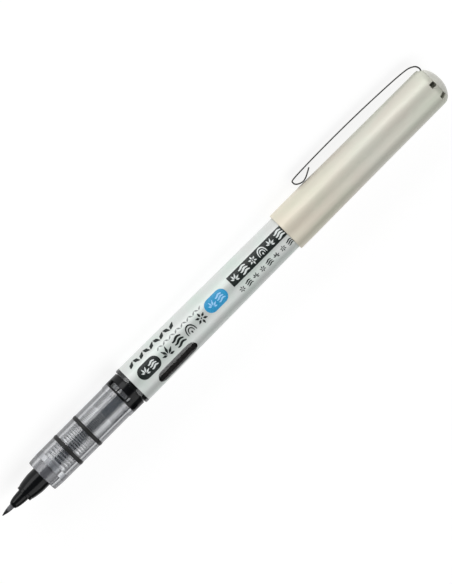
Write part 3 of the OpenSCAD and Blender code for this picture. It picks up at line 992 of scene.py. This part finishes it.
# ---------------------------------------------------------------- cap
DOME_LENGTH = 3.5
DOME_X = PEN_LENGTH - DOME_LENGTH
CAP_R = radius_of("cap_shell")
NARROWING = 0.255
DOME_R = CAP_R - NARROWING
BELLY_LENGTH = DOME_X - CAP_X
MOUTH_R = 5.0
BACK_R = 4.75
SEAT_R = 4.1
CLIP_T = 0.35
CLIP_W = 3.0
CLIP_BEARING = -90
VENTS = (0, 45, 135, 180)
VENT_X, VENT_HALF_W = SHELL_END - 1.45, 0.68
CLIP_SLOT_X, CLIP_SLOT_HALF_W = SHELL_END - 0.9, 1.75
OUTSIDE = 7


def dome(x):
    """The radius of the cap's rounded end."""
    return DOME_R * math.sqrt(max(0.0, 1 - ((x - DOME_X) / DOME_LENGTH) ** 2))


RIM_STEP = 0.025


def belly_r(run):
    """The cap's outer radius: widest a little behind the rim, then easing in to the dome."""
    widest, ease_end, ease = 4.6, 24.6, 0.15
    if run < widest:
        return CAP_R - RIM_STEP * (1 - run / widest)
    if run < ease_end:
        return CAP_R - ease * (run - widest) / (ease_end - widest)
    return CAP_R - ease - (NARROWING - ease) * (run - ease_end) / (BELLY_LENGTH - ease_end)


def cap_shell():
    """The pearl tube, with notches at its end for the vents and the clip."""
    runs = [(BELLY_LENGTH - 0.5) * i / 12 for i in range(1, 13)]
    end_xs = [DOME_X + (SHELL_END - DOME_X) * i / 10 for i in range(1, 10)]
    outline = [(CAP_X, MOUTH_R, 0.08), (CAP_X, CAP_R - RIM_STEP, 0.2)]
    outline += [(CAP_X + run, belly_r(run)) for run in runs] + [(DOME_X, DOME_R)]
    outline += [(x, dome(x)) for x in end_xs]
    outline += [
        (SHELL_END, dome(SHELL_END), 0.06), (SHELL_END, SEAT_R), (SHELL_END - 2, SEAT_R),
        (SHELL_END - 2, BACK_R), (CAP_X + 33, BACK_R), (CAP_X + 31, MOUTH_R - 0.14, 2),
        (CAP_X + 5.5, MOUTH_R, 2),
    ]
    shell = turned("cap_shell", outline, PEARL, "cap", ["cap_shell"], steps=192)
    notch = rectangle(VENT_X, SHELL_END + 1, -VENT_HALF_W, VENT_HALF_W, 0.12)
    cutters = [prism(notch, SEAT_R - 0.5, OUTSIDE, bearing) for bearing in VENTS]
    slot = rectangle(CLIP_SLOT_X, SHELL_END + 1, -CLIP_SLOT_HALF_W, CLIP_SLOT_HALF_W, 0.15)
    cutters.append(prism(slot, SEAT_R - 0.5, OUTSIDE, CLIP_BEARING))
    cut(shell, cutters)


def inner_cap():
    """The cup inside the cap that seals round the nose cone."""
    start, end = span("inner_cap")
    floor_x, bore, lip_r, body_r, foot_r = end - 0.8, 2.95, 3.2, 3.5, BACK_R - 0.01
    outline = [
        (start, bore, 0.1), (start, lip_r, 0.1), (start + 2, lip_r), (start + 3, body_r, 0.5),
        (floor_x - 1, body_r), (floor_x - 1, foot_r, 0.1), (end, foot_r, 0.1),
        (end, 0), (floor_x, 0), (floor_x, bore, 0.5),
    ]
    turned("inner_cap", outline, WHITE, "cap", ["inner_cap"], steps=96)


def crown():
    """The domed end: a skirt in the cap's seat, a hollow, and a post in its middle."""
    foot = span("crown")[0]
    skirt_r, hollow_r, post_r = SEAT_R - 0.01, 3.2, 1.9
    brim_x, hollow_end = SHELL_END + 0.04, SHELL_END - 0.1
    start = math.degrees(math.asin((SHELL_END - DOME_X) / DOME_LENGTH))
    turns = [math.radians(start + (90 - start) * i / 20) for i in range(1, 20)]
    outline = [(foot, hollow_r), (foot, skirt_r, 0.1), (brim_x, skirt_r)]
    outline += [(brim_x, dome(SHELL_END) - 0.02, 0.05)]
    outline += [(DOME_X + DOME_LENGTH * math.sin(t), DOME_R * math.cos(t)) for t in turns]
    outline += [(PEN_LENGTH, 0), (foot, 0), (foot, post_r)]
    outline += [(hollow_end, post_r), (hollow_end, hollow_r)]
    top = turned("crown", outline, CROWN, "cap", ["crown"], steps=160)
    slot = rectangle(CLIP_SLOT_X, SHELL_END + 0.2, -CLIP_SLOT_HALF_W, CLIP_SLOT_HALF_W, 0.1)
    vent = rectangle(VENT_X, SHELL_END - 0.05, -VENT_HALF_W, VENT_HALF_W, 0.1)
    slot_floor_r, vent_floor_r = 2.35, 2.8
    cutters = [prism(slot, slot_floor_r, OUTSIDE, CLIP_BEARING)]
    cutters += [prism(vent, vent_floor_r, OUTSIDE, bearing) for bearing in VENTS]
    cut(top, cutters)


def clip_line():
    """The strip's middle line as (x, radius) points, from its tongue to its free end."""
    root_x = SHELL_END - 0.25
    tongue = [(root_x, 2.6), (root_x, 3.5), (root_x + 0.02, 4.4)]
    bend = [(root_x + 0.18, 5.2), (root_x - 0.1, 6.05), (root_x - 0.9, 6.7), (root_x - 2.4, 7.2)]
    reach, bow, crest = 8.18, 0.00135, SHELL_END - 27.7
    runs = [root_x - 6 - 5.2 * i for i in range(7)]
    arm = [(x, reach - bow * (x - crest) ** 2) for x in runs]
    tip_x = SHELL_END - 41.4
    curl = [
        (tip_x, 7.83), (tip_x - 0.5, 7.2), (tip_x - 0.25, 6.55), (tip_x + 0.55, 6.02),
        (tip_x + 1.5, 5.79), (tip_x + 2.5, 5.96), (tip_x + 3.8, 6.58), (tip_x + 5, 7.25),
    ]
    return smooth_line(tongue + bend + arm + curl, 6)


def clip():
    """A steel strip with rolled edges, swept along the clip's line."""
    line = clip_line()
    half_w, half_t, edge = CLIP_W / 2, CLIP_T / 2, 0.09
    rounding, blunt = 1.4, 0.12
    section = rectangle(-half_w, half_w, -half_t, half_t, edge)
    sideways = place(0, 1, 0) - TIP
    mesh = bmesh.new()
    rings = []
    last = len(line) - 1
    for i, here in enumerate(line):
        ahead = (line[min(i + 1, last)] - line[max(i - 1, 0)]).normalized()
        across = Vector((-ahead.y, ahead.x))
        from_end = min((line[last] - here).length / rounding, 1.0)
        round_end = min(1.0, math.sqrt(max(0.0, 1 - (1 - from_end) ** 2)) + blunt)
        ring = []
        for w, t in section:
            flat = here + across * t
            ring.append(mesh.verts.new(place(flat.x, flat.y, CLIP_BEARING) + sideways * w * round_end))
        rings.append(ring)
    for a, b in zip(rings, rings[1:]):
        walls(mesh, a, b)
    mesh.faces.new(rings[0][::-1])
    mesh.faces.new(rings[-1])
    add_piece("clip", mesh, STEEL, "clip", ["clip"], sharp=50)


nib()
nose_cone()
relay_core()
collector()
grip_section()
grip_ring("front_grip_ring", FRONT_RING_X)
grip_ring("rear_grip_ring", REAR_RING_X)
joint_ring()
barrel()
barrel_film()
ink_charge()
tail_plug()
printed_pills()
printed_flourishes()
printed_bar()
cap_shell()
inner_cap()
crown()
clip()


# ---------------------------------------------------------------- stage, light and camera
def stage():
    """A plain white table that gives off a little light of its own, like a light table."""
    reach = 3.0
    mesh = bmesh.new()
    corners = rectangle(-reach, reach, -reach, reach)
    mesh.faces.new([mesh.verts.new((x, y, 0)) for x, y in corners])
    data = bpy.data.meshes.new("floor")
    mesh.to_mesh(data)
    mesh.free()
    material = new_material(
        "floor", (0.2, 0.2, 0.2), 0.9, Emission_Color=(1, 1, 1, 1), Emission_Strength=0.85
    )
    cloudy = noise(material, 0.02, 2)
    colour_by(material, cloudy, (0.3, (0.19, 0.19, 0.19)), (0.7, (0.21, 0.21, 0.21)))
    data.materials.append(material)
    floor = bpy.data.objects.new("floor", data)
    bpy.context.scene.collection.objects.link(floor)


def soft_light(name, bearing, distance, length, width, power):
    """A long area light that lies along the pen and faces its middle from a bearing."""
    light = bpy.data.lights.new(name, "AREA")
    light.shape = "RECTANGLE"
    light.size, light.size_y = length, width
    light.energy = power
    lamp = bpy.data.objects.new(name, light)
    bpy.context.scene.collection.objects.link(lamp)
    outwards = (place(0, 1, bearing) - TIP).normalized()
    turn = Matrix((AXIS, outwards.cross(AXIS), outwards)).transposed().to_4x4()
    lamp.matrix_world = Matrix.Translation(place(PEN_LENGTH / 2) + outwards * distance) @ turn


def lights():
    """Two long soft lamps, one on each side of the camera, in a faint even surround."""
    soft_light("key", -44, 0.8, 1.2, 0.5, 6.6)
    soft_light("fill", 56, 0.9, 1.2, 0.8, 6.4)
    world = bpy.data.worlds.new("world")
    world.use_nodes = True
    world.node_tree.nodes["Background"].inputs["Color"].default_value = (1, 1, 1, 1)
    world.node_tree.nodes["Background"].inputs["Strength"].default_value = 0.08
    bpy.context.scene.world = world
    bpy.context.scene.view_settings.view_transform = "Standard"
    bpy.context.scene.cycles.transparent_max_bounces = 64


def camera():
    """A long lens square to the clip's plane, rolled so that the pen runs up to the right."""
    lean = math.radians(45.03)
    lens, sensor, visible_mm = 600, 36, 143.5
    aim = place(77.7, 0.02, 90)
    right = AXIS * math.cos(lean) - CLIP_SIDE * math.sin(lean)
    up = AXIS * math.sin(lean) + CLIP_SIDE * math.cos(lean)
    data = bpy.data.cameras.new("camera")
    data.lens = lens
    data.sensor_width = sensor
    data.clip_start, data.clip_end = 0.01, 20
    eye = bpy.data.objects.new("camera", data)
    bpy.context.scene.collection.objects.link(eye)
    turn = Matrix((right, up, FACE)).transposed().to_4x4()
    eye.matrix_world = Matrix.Translation(aim + FACE * visible_mm * MM * lens / sensor) @ turn
    bpy.context.scene.camera = eye


stage()
lights()
camera()
